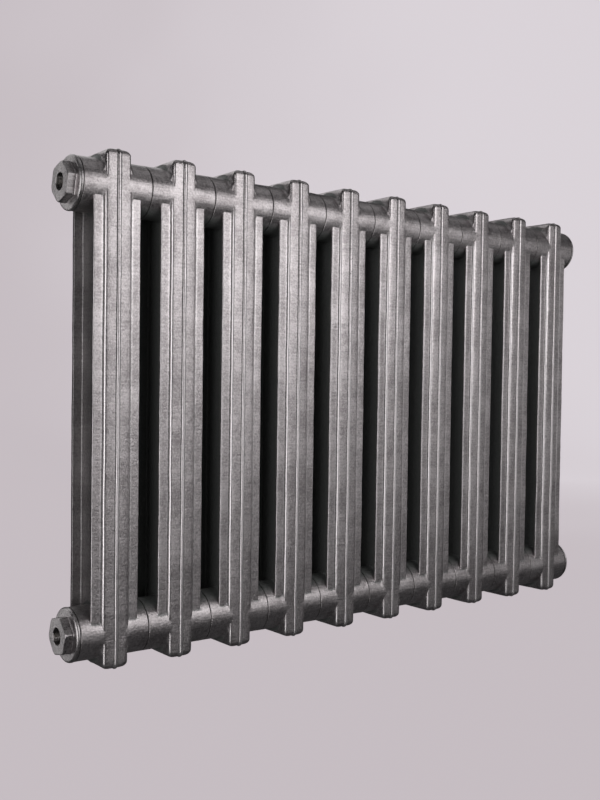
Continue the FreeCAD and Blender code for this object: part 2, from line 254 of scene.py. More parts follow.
print("bar faces at y =", round(PANEL_Y, 4), "and fins at", round(FIN_FACE_Y, 4))


# %% The bars with the column between them
def head_to_bar(z):
    """Half width at a height: head width beyond the hub axes, bar width between them.

    Two equal arcs that touch each other make the change, over FLARE_HEIGHT round each axis.
    """
    step = BAR_HALF_WIDTH - HEAD_HALF_WIDTH
    radius = (FLARE_HEIGHT ** 2 + step ** 2) / (4 * step)
    from_axis = np.minimum(z - LOWER_AXIS, UPPER_AXIS - z)
    run = np.clip(from_axis + FLARE_HEIGHT / 2, 0, FLARE_HEIGHT)
    near = radius - np.sqrt(radius ** 2 - np.minimum(run, FLARE_HEIGHT / 2) ** 2)
    far = radius - np.sqrt(radius ** 2 - np.minimum(FLARE_HEIGHT - run, FLARE_HEIGHT / 2) ** 2)
    return HEAD_HALF_WIDTH + np.where(run < FLARE_HEIGHT / 2, near, step - far)


def bar_shape():
    """Front bar, column and rear bar as one rounded rectangle carried up, narrowing at both ends.

    The front and rear faces are crowned: they fall back towards their edges by FACE_CROWN, with
    the fourth power of the distance from the bead.
    """
    outline = rounded_outline(6, np.linspace(-1, 1, 15)[1:-1], np.linspace(-1, 1, 13)[1:-1])
    z = end_spacing(BAR_LOW, BAR_HIGH, HEAD_CORNER_RADIUS, ROW_STEP)
    from_end = np.minimum(z - BAR_LOW, BAR_HIGH - z)
    half_x = head_to_bar(z) - inset(from_end, HEAD_CORNER_RADIUS)
    half_y = PANEL_Y - inset(from_end, HEAD_NOSE_RADIUS)
    grid = carried_up(outline, z, half_x, half_y, BAR_EDGE_RADIUS)
    grid[..., 1] *= 1 - FACE_CROWN / PANEL_Y * (grid[..., 0] / BAR_HALF_WIDTH) ** 4
    return closed_mesh("bars", grid)


print("the bars have", len(bar_shape().polygons), "faces")


# %% The bead round the section
def bead_shape():
    """Half an ellipse carried along a rounded rectangle that goes round the whole section.

    The path lies in the middle plane. The profile's own axes are +X and the path's outward normal.
    """
    radius = HEAD_NOSE_RADIUS + BEAD_END_RISE
    path = rounded_outline(9, np.linspace(-1, 1, 16)[1:-1], np.linspace(-1, 1, 190)[1:-1])
    cy, ey, cz, ez = path.T
    y = cy * (HALF_DEPTH - radius) + ey * radius
    z = HEIGHT / 2 + cz * (HEIGHT / 2 - radius) + ez * radius
    crown = np.linspace(0, math.pi, 13)
    profile_x = np.concatenate([np.cos(crown) * BEAD_HALF_WIDTH,
                                [-BEAD_HALF_WIDTH, -BEAD_HALF_WIDTH, BEAD_HALF_WIDTH, BEAD_HALF_WIDTH]])
    profile_out = np.concatenate([(np.sin(crown) - 1) * BEAD_RISE,
                                  [-BEAD_DEPTH * 0.7, -BEAD_DEPTH, -BEAD_DEPTH, -BEAD_DEPTH * 0.7]])
    grid = np.zeros((len(path), len(profile_x), 3))
    grid[..., 0] = profile_x
    grid[..., 1] = y[:, None] + ey[:, None] * profile_out
    grid[..., 2] = z[:, None] + ez[:, None] * profile_out
    return closed_mesh("bead", grid, rows_meet=True)


print("the bead has", len(bead_shape().polygons), "faces")


# %% The fins and the fillets behind them
def fin_shape(side):
    """Flat plate with round edges and corners: side -1 is the front fin and 1 the rear one.

    Near an end the plate gets thinner than two edge radii, so the radius shrinks there with it.
    """
    outline = rounded_outline(4, np.linspace(-1, 1, 23)[1:-1], [-0.4, 0.4])
    z = end_spacing(FIN_LOW, FIN_HIGH, FIN_CORNER_RADIUS, ROW_STEP, turn_steps=9)
    from_end = np.minimum(z - FIN_LOW, FIN_HIGH - z)
    half_x = FIN_HALF_WIDTH - inset(from_end, FIN_CORNER_RADIUS)
    half_y = FIN_THICKNESS / 2 - inset(from_end, FIN_EDGE_RADIUS)
    radius = np.minimum(FIN_EDGE_RADIUS, half_y * FIN_EDGE_SHARE)
    grid = carried_up(outline, z, half_x, half_y, radius)
    grid[..., 1] += side * (FIN_FACE_Y - FIN_THICKNESS / 2)
    return closed_mesh("fin", grid)


def fin_root_shape(side_x, side_y):
    """Concave quarter circle in the corner of column and fin, carried up between fin corners."""
    overlap = 0.5 * MM
    angle = np.linspace(math.pi, 1.5 * math.pi, 7)
    x = np.concatenate([FIN_ROOT_RADIUS * (1 + np.cos(angle)), [FIN_ROOT_RADIUS, -overlap, -overlap]])
    y = np.concatenate([FIN_ROOT_RADIUS * (1 + np.sin(angle)), [-overlap, -overlap, FIN_ROOT_RADIUS]])
    z = np.linspace(FIN_LOW + FIN_CORNER_RADIUS, FIN_HIGH - FIN_CORNER_RADIUS, 60)
    grid = np.zeros((len(z), len(x), 3))
    grid[..., 0] = side_x * (BAR_HALF_WIDTH + x)
    grid[..., 1] = side_y * (FIN_BACK_Y - y)
    grid[..., 2] = z[:, None]
    return closed_mesh("fin root", grid)


print("a fin has", len(fin_shape(-1).polygons), "faces")


# %% The hubs and the waterway
def turned(name, x, radius, axis_z, columns=ROUND_COLUMNS):
    """Grid of rings round a level axis: x along it and a radius for each row, or for each point."""
    angle = np.linspace(0, 2 * math.pi, columns, endpoint=False)
    radius = np.broadcast_to(np.reshape(radius, (len(x), -1)), (len(x), columns))
    grid = np.stack([np.broadcast_to(x[:, None], radius.shape), radius * np.cos(angle),
                     axis_z + radius * np.sin(angle)], axis=-1)
    return closed_mesh(name, grid)


def hub_shape(axis_z):
    """Round hub whose radius grows along a quarter circle where it leaves the head.

    The grown part is kept inside the head: round the axis it stops where it would pass a plane.
    """
    half = HUB_LENGTH / 2
    arc = np.linspace(0, math.pi / 2, 8)
    root_x = HEAD_HALF_WIDTH + HUB_ROOT_RADIUS * (1 - np.sin(arc))
    root_radius = HUB_RADIUS + HUB_ROOT_RADIUS * (1 - np.cos(arc))
    side = np.linspace(half - HUB_CHAMFER, root_x[0], 9)
    x = np.concatenate([[half], side[:-1], root_x])
    radius = np.concatenate([[HUB_RADIUS - HUB_CHAMFER], np.full(len(side) - 1, HUB_RADIUS),
                             root_radius])
    x = np.concatenate([-x, x[::-1]])
    radius = np.concatenate([radius, radius[::-1]])
    angle = np.linspace(0, 2 * math.pi, ROUND_COLUMNS, endpoint=False)
    nearly_nothing = 1e-6
    room_y = (PANEL_Y - BAR_EDGE_RADIUS) / np.maximum(np.abs(np.cos(angle)), nearly_nothing)
    room_z = BAR_HIGH - BEAD_END_RISE - UPPER_AXIS
    room_z = room_z / np.maximum(np.abs(np.sin(angle)), nearly_nothing)
    room = np.maximum(np.minimum(room_y, room_z), HUB_RADIUS)
    return turned("hub", x, np.minimum(radius[:, None], room), axis_z)


def header_shape(axis_z):
    """The hollow along a hub: a thread's bore at each end and a wider chamber between them."""
    half = HUB_LENGTH / 2
    chamber = half - THREAD_DEPTH
    wide = HUB_RADIUS - HUB_WALL
    x = np.array([half + MM, chamber, chamber, -chamber, -chamber, -half - MM])
    radius = np.array([THREAD_RADIUS, THREAD_RADIUS, wide, wide, THREAD_RADIUS, THREAD_RADIUS])
    return turned("header", x, radius, axis_z, columns=72)


def channel_shape():
    """The hollow in the column, from one header to the other."""
    outline = rounded_outline(6, np.linspace(-1, 1, 4)[1:-1], np.linspace(-1, 1, 6)[1:-1])
    z = np.linspace(LOWER_AXIS, UPPER_AXIS, 24)
    half_x = BAR_HALF_WIDTH - COLUMN_WALL
    half_y = PANEL_Y - COLUMN_WALL
    return closed_mesh("channel", carried_up(outline, z, half_x, half_y, CHANNEL_CORNER_RADIUS))


print("a hub has", len(hub_shape(LOWER_AXIS).polygons), "faces")


# %% Joining the shapes and cutting the waterway
def combined(base, joined, cut):
    """Mesh of base with the joined meshes added and the cut ones taken away, by booleans."""
    body = add_object("casting", base)
    helpers = []
    for operation, meshes in (("UNION", joined), ("DIFFERENCE", cut)):
        for mesh in meshes:
            helper = add_object("helper", mesh)
            step = body.modifiers.new("join", "BOOLEAN")
            step.operation = operation
            step.solver = "MANIFOLD"
            step.object = helper
            helpers.append(helper)
    solved = body.evaluated_get(bpy.context.evaluated_depsgraph_get())
    result = bpy.data.meshes.new_from_object(solved)
    for helper in helpers + [body]:
        bpy.data.objects.remove(helper)
    return result


axes = (LOWER_AXIS, UPPER_AXIS)
roots = [fin_root_shape(side_x, side_y) for side_x in (-1, 1) for side_y in (-1, 1)]
plain_section = combined(bar_shape(), [bead_shape(), fin_shape(-1), fin_shape(1)] + roots
                         + [hub_shape(axis) for axis in axes],
                         [header_shape(axis) for axis in axes] + [channel_shape()])
plain_points = np.zeros(len(plain_section.vertices) * 3, np.float32)
plain_section.vertices.foreach_get("co", plain_points)
plain_points = plain_points.reshape(-1, 3).astype(float)
print("a section has", len(plain_section.polygons), "faces and", len(plain_points), "points")

# %% [markdown]
# ## From the pattern to ten castings
# No two castings are quite alike: sand shifts a little and iron shrinks unevenly. Each section
# gets its own slow waves, a fraction of a millimetre high, from a sum of plane waves with seeded
# directions and phases. The hub's end faces are machined, so the waves fade out there.
# Each point also learns four things that the finish needs: how far it lies from an inner corner,
# where casting skin and painted shade go; how much an outer edge is rubbed bright, partly as a
# painted highlight; whether it sits in a recess that the grinder never reached, where skin and
# painted shade stay; and whether hands and cloths keep it smooth. Values on the mesh's points follow
# the casting's own shape. A noise pattern alone would put dark corners and bright edges anywhere.


# %% Slow waves
def slow_waves(points, seed, shortest, longest, count=24):
    """Smooth field of vectors, about one high: a sum of sines along seeded directions."""
    random = np.random.default_rng(seed)
    direction = random.normal(size=(count, 3))
    direction /= np.linalg.norm(direction, axis=1, keepdims=True)
    length = random.uniform(shortest, longest, count)
    phase = random.uniform(0, 2 * math.pi, count)
    push = random.normal(size=(count, 3))
    waves = np.sin(points @ (direction * 2 * math.pi / length[:, None]).T + phase)
    return waves @ push / math.sqrt(count)


def ramp(value, low, high):
    """0 below low, 1 above high and a smooth step between."""
    t = np.clip((value - low) / (high - low), 0, 1)
    return t * t * (3 - 2 * t)


print("the waves are about", round(float(slow_waves(plain_points, 1, 0.02, 0.05).std()), 2), "high")

# %% Where dark casting skin and painted shade stay
BEAD_SIDE = 5


def from_corners(x, y, z, from_axis):
    """Distance from the nearest inner corner, as the least of four distances.

    They are measured from the corner between bar and fin, from the foot of the bead, from the ends
    of the fins and from the root of a hub. Near these corners the iron gets its dark casting skin
    and painted shade. A share below one lets the skin and painted shade reach further out. The
    bead's own side counts BEAD_SIDE times, so that the bead stays clean, and the skin and painted
    shade round a hub's root thin out towards the panels.
    """
    beyond_fins = np.maximum(0, np.maximum(FIN_LOW - z, z - FIN_HIGH))
    at_fin = np.sqrt((x - BAR_HALF_WIDTH) ** 2 + (y - FIN_FACE_Y) ** 2 + beyond_fins ** 2)
    beside_bead = np.maximum(x - BEAD_HALF_WIDTH, BEAD_SIDE * (BEAD_HALF_WIDTH - x))
    at_bead = np.hypot(beside_bead, y - PANEL_Y)
    past_end = np.minimum(0.25 * np.abs(z - FIN_LOW), 0.5 * np.abs(z - FIN_HIGH))
    off_fin = np.maximum(0, np.maximum(0.5 * (x - FIN_HALF_WIDTH), BAR_HALF_WIDTH - x))
    at_fin_end = np.sqrt(past_end ** 2 + off_fin ** 2 + np.maximum(0, y - FIN_FACE_Y) ** 2)
    toward_face = ramp(y, 12 * MM, 24 * MM)
    at_hub = np.hypot(x - HEAD_HALF_WIDTH - MM, from_axis - HUB_RADIUS - MM)
    at_hub = np.maximum(0, (at_hub - 2 * MM + 3.4 * MM * toward_face) * 0.5)
    return np.minimum(np.minimum(at_fin, at_bead), np.minimum(at_hub, at_fin_end))


def in_recess(y, z):
    """1 on the flanks behind the fins, between the hubs, where no grinding wheel fits in.

    Casting skin and painted shade stay there.
    """
    between = ramp(z, LOWER_AXIS + 16 * MM, LOWER_AXIS + 27 * MM)
    between *= ramp(-z, -(UPPER_AXIS - 14 * MM), -(UPPER_AXIS - 26 * MM))
    return between * (1 - ramp(y, FIN_BACK_Y + 0.3 * MM, FIN_BACK_Y + 2.2 * MM))


print("helpers for the casting skin are ready")

# %% Where the iron is rubbed bright, with a painted highlight, and smooth
# Shares of wear and painted highlight on the bead and on the fins' edges.
BEAD_WEAR_AND_HIGHLIGHT_TOP = 0.2
BEAD_WEAR_AND_HIGHLIGHT_MORE = 0.7
FIN_WEAR_AND_HIGHLIGHT = 0.6


def near_bar_edge(x, y, z, near, far):
    """1 within a distance of a bar's outer edges and 0 beyond a further one."""
    return 1 - ramp(np.hypot(x - head_to_bar(z), y - PANEL_Y + FACE_CROWN), near, far)


def finish_values(points):
    """For each point: millimetres from an inner corner, and shares of wear with painted highlight,
    of recess and of smoothness. Corners and recesses get casting skin and painted shade.

    Wear with painted highlight is the most of three: on bar edges below the upper hubs, on fin
    edges, and on the bead, where it grows downwards from BEAD_WEAR_AND_HIGHLIGHT_TOP to
    BEAD_WEAR_AND_HIGHLIGHT_TOP + BEAD_WEAR_AND_HIGHLIGHT_MORE.
    """
    x, y = np.abs(points[:, 0]), np.abs(points[:, 1])
    z = points[:, 2]
    from_axis = np.hypot(y, z - np.where(z < HEIGHT / 2, LOWER_AXIS, UPPER_AXIS))
    off_hub = ramp(from_axis, HUB_RADIUS - 2 * MM, HUB_RADIUS + 6 * MM)
    bead = (1 - ramp(x, BEAD_HALF_WIDTH + 0.2 * MM, BEAD_HALF_WIDTH + 1.2 * MM)) * (y > PANEL_Y - MM)
    bead_wear_and_highlight = bead * (BEAD_WEAR_AND_HIGHLIGHT_TOP + BEAD_WEAR_AND_HIGHLIGHT_MORE * ramp(HEIGHT - z, 100 * MM, 350 * MM))
    # Wear and painted highlight: brighter rubbed edges on bars and fins, and a brighter bead.
    bar_wear_and_highlight = near_bar_edge(x, y, z, 1.6 * MM, 3.2 * MM)
    bar_wear_and_highlight *= off_hub * (1 - ramp(z, UPPER_AXIS - 20 * MM, UPPER_AXIS))
    fin_edge = 1 - ramp(np.hypot(x - FIN_HALF_WIDTH, y - FIN_FACE_Y), 0.6 * MM, 1.8 * MM)
    fin_wear_and_highlight = FIN_WEAR_AND_HIGHLIGHT * fin_edge
    smooth_edge = near_bar_edge(x, y, z, 2.4 * MM, 4.4 * MM) * off_hub
    return {"corner_mm": from_corners(x, y, z, from_axis) / MM,
            "worn_and_highlight": np.maximum(np.maximum(bar_wear_and_highlight, fin_wear_and_highlight), bead_wear_and_highlight),
            "recess": in_recess(y, z),
            "smooth": np.maximum(np.maximum(bead, smooth_edge), fin_wear_and_highlight)}


finish = finish_values(plain_points)
print({name: (round(float(v.min()), 2), round(float(v.max()), 2)) for name, v in finish.items()})

# %% Ten sections
SLOW_WAVE_HEIGHT = 0.16 * MM
RIPPLE_HEIGHT = 0.07 * MM
MACHINED_RIM = 4 * MM
# Share of casting skin and painted shade taken off the outward recess of an end section.
END_SIDE_LESS_SKIN_AND_SHADE = 0.6


def shade(mesh, sharp_degrees):
    """Smooth shading that stays crisp at edges sharper than an angle."""
    mesh.shade_smooth()
    mesh.set_sharp_from_angle(angle=math.radians(sharp_degrees))


def cast_section(number, node):
    """One section at its place: the pattern's mesh with waves of its own.

    The outward side of an end section can be reached, so its recess is ground cleaner. It lies open
    to the light as well, so its recess also gets less painted shade.
    """
    mesh = plain_section.copy()
    mesh.name = f"cast section {number:02d}"
    points = plain_points.copy()
    fade = np.clip((HUB_LENGTH / 2 - np.abs(points[:, 0])) / MACHINED_RIM, 0, 1)[:, None]
    points += SLOW_WAVE_HEIGHT * fade * slow_waves(plain_points, number, 40 * MM, 140 * MM)
    ripple = slow_waves(plain_points, 100 + number, 7 * MM, 16 * MM, count=40)
    points += RIPPLE_HEIGHT * fade * ripple
    points[:, 1] = np.clip(points[:, 1], -HALF_DEPTH, HALF_DEPTH)
    points[:, 2] = np.clip(points[:, 2], 0, HEIGHT)
    points[:, 0] += centre(node)[0]
    mesh.vertices.foreach_set("co", points.astype(np.float32).ravel())
    outward = np.sign(centre(node)[0]) * plain_points[:, 0] > 0
    end_side = outward if number in (1, len(SECTIONS)) else 0
    # The outward recess of an end section gets less casting skin and less painted shade.
    own_finish = dict(finish, recess=finish["recess"] * (1 - END_SIDE_LESS_SKIN_AND_SHADE * end_side))
    for name, values in own_finish.items():
        layer = mesh.attributes.new(name, "FLOAT", "POINT")
        layer.data.foreach_set("value", values.astype(np.float32))
    mesh.update()
    shade(mesh, sharp_degrees=32)
    piece = add_object(f"cast_section_{number:02d}", mesh)
    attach(piece, "root")
    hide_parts(node)
    return piece


section_pieces = [cast_section(number + 1, node) for number, node in enumerate(SECTIONS)]
print(len(section_pieces), "sections of", len(section_pieces[0].data.polygons), "faces")

# %% [markdown]
# ## Gaskets
# A fibre ring sits between every two hubs and under every end fitting. It is squeezed when the
# joint is drawn up, so its edge bulges a little and isn't quite round. A bevelled tube would be
# too regular. Here each ring is a profile carried round, with a radius of its own at each angle.


# %% Squeezed gaskets
ROOM_ROUND_NIPPLE = 0.7 * MM
EDGE_WANDER = 0.09 * MM
SQUEEZE_SHORTFALL = 2
WANDER_TURNS = (2, 3, 5, 9, 14)


def gasket_shape(number, node):
    """Ring whose outer edge swells as a half circle and wanders in and out round the joint.

    The wander is a sum of sines with WANDER_TURNS waves to the circle, less a fixed shortfall.
    """
    low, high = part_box(node)
    inner = MALE_RADIUS + ROOM_ROUND_NIPPLE
    angle = np.linspace(0, 2 * math.pi, ROUND_COLUMNS, endpoint=False)
    bulge = np.linspace(-math.pi / 2, math.pi / 2, 7)
    half = (high.x - low.x) / 2
    random = np.random.default_rng(500 + number)
    wander = sum(random.normal() * np.sin(turns * angle + random.uniform(0, 6))
                 for turns in WANDER_TURNS)
    edge = high.y - half + EDGE_WANDER * (wander - SQUEEZE_SHORTFALL)
    x = np.concatenate([half * np.sin(bulge), [half, -half]])
    out = edge[:, None] + half * np.cos(bulge)
    radius = np.concatenate([out, np.full((ROUND_COLUMNS, 2), inner)], axis=1)
    middle = centre(node)
    grid = np.stack([np.broadcast_to(middle[0] + x, radius.shape),
                     radius * np.cos(angle)[:, None],
                     middle[2] + radius * np.sin(angle)[:, None]], axis=-1)
    return closed_mesh(node, grid, rows_meet=True)


gasket_pieces = []
for gasket_number, gasket_node in enumerate(GASKETS):
    ring_mesh = gasket_shape(gasket_number, gasket_node)
    shade(ring_mesh, sharp_degrees=40)
    ring = add_object(gasket_node.replace("gasket", "fibre_ring"), ring_mesh)
    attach(ring, "root")
    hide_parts(gasket_node)
    gasket_pieces.append(ring)
print(len(gasket_pieces), "gaskets")

# %% [markdown]
# ## Bushes and plugs
# The four ends are closed by turned fittings: a threaded shank, a flange with a rounded rim and a
# hexagon for the spanner. The bushes on the left have a half inch pipe thread right through, and
# the plugs on the right are blind. Each is one surface: a profile goes round the axis, and its
# radius also depends on the angle, which gives the hexagon its flats and the bore its thread.

# %% Sizes of the fittings
FLANGE_RADIUS = 30.8 * MM
FLANGE_THICKNESS = 4.4 * MM
FLANGE_RIM_RADIUS = 2.8 * MM
FLANGE_BACK_CHAMFER = 0.4 * MM
HEX_ACROSS_FLATS = 40.0 * MM
HEX_HEIGHT = 10.0 * MM
HEX_CORNER_TRIM = 2.0 * MM
HEX_ROOT_RADIUS = 0.8 * MM
HEX_CONE_DEGREES = 30
HEX_RIM_DEPTH = 0.25 * MM
HEX_RIM_WIDTH = 0.45 * MM
TOP_HEX_TURN = 44
BOTTOM_HEX_TURN = -12
SHANK_LENGTH = 16.0 * MM
SHANK_CHAMFER = 1.2 * MM
BORE_RADIUS = 9.3 * MM
BORE_CHAMFER = 0.8 * MM
THREAD_PITCH = 1.814 * MM
THREAD_HEIGHT = 1.16 * MM
THREAD_KEPT = 0.8
THREAD_STEPS = 6
PLUG_HOLLOW_RADIUS = MALE_RADIUS - 5.0 * MM
PLUG_FLOOR = 4.0 * MM
PLUG_CENTRE_RADIUS = 2.0 * MM
FITTING_COLUMNS = 120
print("fittings stand out", round((GASKET_THICKNESS + FLANGE_THICKNESS + HEX_HEIGHT) / MM, 1), "mm")


# %% One fitting
def hexagon_radius(angle, turn_degrees):
    """Distance from the axis to a hexagon's side, with slightly rounded corners.

    For each flat, cosine of the angle from its normal over half the width across flats is one over
    that distance. A high power mean of the six picks the nearest flat and rounds the corners.
    """
    power = 60
    normals = np.radians(30 + turn_degrees + 60 * np.arange(6))
    inverse = np.maximum(0, np.cos(angle[:, None] - normals)) / (HEX_ACROSS_FLATS / 2)
    return (inverse ** power).sum(axis=1) ** (-1 / power)


def outside_stations(hexagon, inner):
    """Stations (x, radius) from the shank's end over the flange and the hexagon to its rim.

    x counts from the hub's face outwards. Quarter circles round the flange's rim and the hexagon's
    root. A cone trims the hexagon's corners: the radius is the lesser of hexagon and cone.
    """
    back = GASKET_THICKNESS
    front = back + FLANGE_THICKNESS
    end = front + HEX_HEIGHT
    stations = [(-SHANK_LENGTH, inner),
                (-SHANK_LENGTH, MALE_RADIUS - SHANK_CHAMFER),
                (-SHANK_LENGTH + SHANK_CHAMFER, MALE_RADIUS),
                (back, MALE_RADIUS),
                (back, FLANGE_RADIUS - FLANGE_BACK_CHAMFER),
                (back + FLANGE_BACK_CHAMFER, FLANGE_RADIUS)]
    for quarter in np.linspace(0, math.pi / 2, 7):
        stations.append((front - FLANGE_RIM_RADIUS * (1 - math.sin(quarter)),
                         FLANGE_RADIUS - FLANGE_RIM_RADIUS * (1 - math.cos(quarter))))
    for share in (0.35, 0.7):
        stations.append((front, FLANGE_RADIUS - FLANGE_RIM_RADIUS - share * 5 * MM))
    for quarter in np.linspace(0, math.pi / 2, 4):
        stations.append((front + HEX_ROOT_RADIUS * (1 - math.cos(quarter)),
                         hexagon + HEX_ROOT_RADIUS * (1 - math.sin(quarter))))
    corner = HEX_ACROSS_FLATS / 2 / math.cos(math.pi / 6)
    slope = math.tan(math.radians(HEX_CONE_DEGREES))
    for share in np.linspace(0, 1, 8)[1:]:
        x = front + HEX_ROOT_RADIUS + (HEX_HEIGHT - 2 * HEX_ROOT_RADIUS) * share
        cone = corner - HEX_CORNER_TRIM + (end - x) / slope
        stations.append((x, np.minimum(hexagon, cone)))
    rim = np.minimum(hexagon, corner - HEX_CORNER_TRIM + HEX_RIM_DEPTH / slope)
    stations += [(end - HEX_RIM_DEPTH, rim), (end, rim - HEX_RIM_WIDTH)]
    return stations, end


def thread_stations(angle, end):
    """Stations down an open bore. The radius is the zigzag of a pipe thread, one turn per pitch.

    The phase is x over the pitch less the turned share of a circle, and the groove is deepest at
    half. THREAD_KEPT is the share of the full height that is cut.
    """
    stations = []
    for x in np.arange(end - BORE_CHAMFER, -SHANK_LENGTH + MM, -THREAD_PITCH / THREAD_STEPS):
        phase = (x / THREAD_PITCH - angle / (2 * math.pi)) % 1
        stations.append((x, BORE_RADIUS + THREAD_HEIGHT * THREAD_KEPT * (1 - np.abs(2 * phase - 1))))
    return stations


def fitting_shape(node, side, blind, turn_degrees):
    """Grid of a fitting: its outside, then its end face, and then the bore or the hollow.

    A bush's last station meets its first. A plug starts at the rim of its hollow's floor and ends
    near the middle of its face, and both are closed with a fan.
    """
    angle = np.linspace(0, 2 * math.pi, FITTING_COLUMNS, endpoint=False)
    hexagon = hexagon_radius(angle, turn_degrees)
    inner = PLUG_HOLLOW_RADIUS if blind else BORE_RADIUS
    stations, end = outside_stations(hexagon, inner)
    face_edge = stations[-1][1]
    middle = PLUG_CENTRE_RADIUS if blind else BORE_RADIUS + BORE_CHAMFER
    for share in np.linspace(0, 1, 7)[1:]:
        stations.append((end, face_edge * (1 - share) + middle * share))
    if blind:
        floor_x = GASKET_THICKNESS + FLANGE_THICKNESS - PLUG_FLOOR
        stations = [(floor_x, inner)] + stations
    else:
        stations += thread_stations(angle, end)
    x = np.array([station[0] for station in stations])[:, None]
    radius = np.array([np.broadcast_to(station[1], angle.shape) for station in stations])
    hub_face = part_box(node)[1].x - end if side > 0 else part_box(node)[0].x + end
    axis_z = centre(node)[2]
    grid = np.stack([np.broadcast_to(hub_face + side * x, radius.shape), radius * np.cos(angle),
                     axis_z + radius * np.sin(angle)], axis=-1)
    return closed_mesh(node, grid, rows_meet=not blind), radius


def add_fitting(node):
    """Bush or plug at its place. Its points learn their distance from the axis and if in a bore."""
    side = 1 if node.endswith("right") else -1
    blind = node.startswith("plug")
    mesh, radius = fitting_shape(node, side, blind, TOP_HEX_TURN if "top" in node else BOTTOM_HEX_TURN)
    turned_mm = np.zeros(len(mesh.vertices))
    turned_mm[:radius.size] = radius.ravel() / MM
    just_inside_mm = (BORE_RADIUS + BORE_CHAMFER) / MM - 0.1
    in_bore = (turned_mm < just_inside_mm) & (not blind)
    for name, values in {"turned_mm": turned_mm, "in_bore": in_bore}.items():
        layer = mesh.attributes.new(name, "FLOAT", "POINT")
        layer.data.foreach_set("value", values.astype(np.float32))
    shade(mesh, sharp_degrees=30)
    piece = add_object("turned_" + node, mesh)
    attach(piece, "root")
    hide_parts(node)
    return piece


fitting_pieces = [add_fitting(node) for node in FITTINGS]
print(len(fitting_pieces), "fittings of", len(fitting_pieces[0].data.polygons), "faces")

# %% [markdown]
# ## Finishes
# The sections are bare iron: ground and burnished outside, with the dark skin of the casting left
# in the recesses and inner corners, where painted shade darkens them as well. Their outer edges
# and beads are rubbed brighter, partly as a painted highlight. An image could be painted for this,
# but it would need a map of every face. Here noise on Object coordinates gives the mottle of cast
# iron at its true size, and the values on the points say where skin and painted shade, wear and
# painted highlight, and smoothness are. A few helpers keep the node trees short to read.


# %% Helpers for node trees
class Tree:
    """A material's nodes, added and linked by short calls."""

    def __init__(self, name):
        self.material = bpy.data.materials.new(name)
        self.material.use_nodes = True
        self.nodes = self.material.node_tree.nodes
        self.links = self.material.node_tree.links
        self.shader = self.nodes["Principled BSDF"]
        self.place = self.nodes.new("ShaderNodeTexCoord").outputs["Object"]

    def put(self, value, socket):
        """Link an output to a socket, or set a plain value on it."""
        if isinstance(value, bpy.types.NodeSocket):
            self.links.new(value, socket)
        else:
            socket.default_value = value

    def value(self, name):
        """A named value of the mesh's points."""
        node = self.nodes.new("ShaderNodeAttribute")
        node.attribute_name = name
        return node.outputs["Fac"]

    def math(self, operation, first, second=0.0, clamp=False):
        """A sum, product or difference of two values, kept between 0 and 1 if clamped."""
        node = self.nodes.new("ShaderNodeMath")
        node.operation = operation
        node.use_clamp = clamp
        self.put(first, node.inputs[0])
        self.put(second, node.inputs[1])
        return node.outputs[0]

    def noise(self, scale, stretch=(1, 1, 1), detail=3.0, rough=0.5):
        """Cloudy pattern, 0 to 1, with about scale blobs to the metre.

        A stretch below one makes the blobs longer along that axis.
        """
        mapping = self.nodes.new("ShaderNodeMapping")
        mapping.inputs["Scale"].default_value = stretch
        self.put(self.place, mapping.inputs["Vector"])
        node = self.nodes.new("ShaderNodeTexNoise")
        self.put(mapping.outputs[0], node.inputs["Vector"])
        node.inputs["Scale"].default_value = scale
        node.inputs["Detail"].default_value = detail
        node.inputs["Roughness"].default_value = rough
        return node.outputs["Fac"]

    def step(self, value, low, high, to_low=0.0, to_high=1.0):
        """Smooth step of a value from low to high, as to_low to to_high."""
        node = self.nodes.new("ShaderNodeMapRange")
        node.interpolation_type = "SMOOTHSTEP"
        for socket, number in zip(node.inputs, (value, low, high, to_low, to_high)):
            self.put(number, socket)
        return node.outputs[0]

    def mix(self, share, first, second):
        """Colour between two, by a share: input 0 is the share, 6 and 7 are the colours."""
        node = self.nodes.new("ShaderNodeMix")
        node.data_type = "RGBA"
        for number, value in ((0, share), (6, first), (7, second)):
            self.put(value, node.inputs[number])
        return node.outputs[2]

    def bump(self, height, distance, strength, after=None):
        """Normal of a surface that a pattern raises by up to a distance, over an earlier bump."""
        node = self.nodes.new("ShaderNodeBump")
        node.inputs["Distance"].default_value = distance
        self.put(strength, node.inputs["Strength"])
        self.put(height, node.inputs["Height"])
        if after:
            self.put(after, node.inputs["Normal"])
        return node.outputs[0]


print("node helpers are ready")


# %% The sections' iron
# The skin colours stand for casting skin and painted shade; the brightest one for wear and painted
# highlight.
GROUND_DULL, GROUND_CLEAR = (0.30, 0.273, 0.278, 1), (0.60, 0.557, 0.566, 1)
WORN_AND_HIGHLIGHT_BRIGHT = (0.86, 0.81, 0.82, 1)
SKIN_AND_SHADE_DARK, SKIN_AND_SHADE_PALE = (0.10, 0.104, 0.102, 1), (0.21, 0.214, 0.209, 1)
MOTTLE_BUMP, GRIND_BUMP = 0.0012, 0.0004


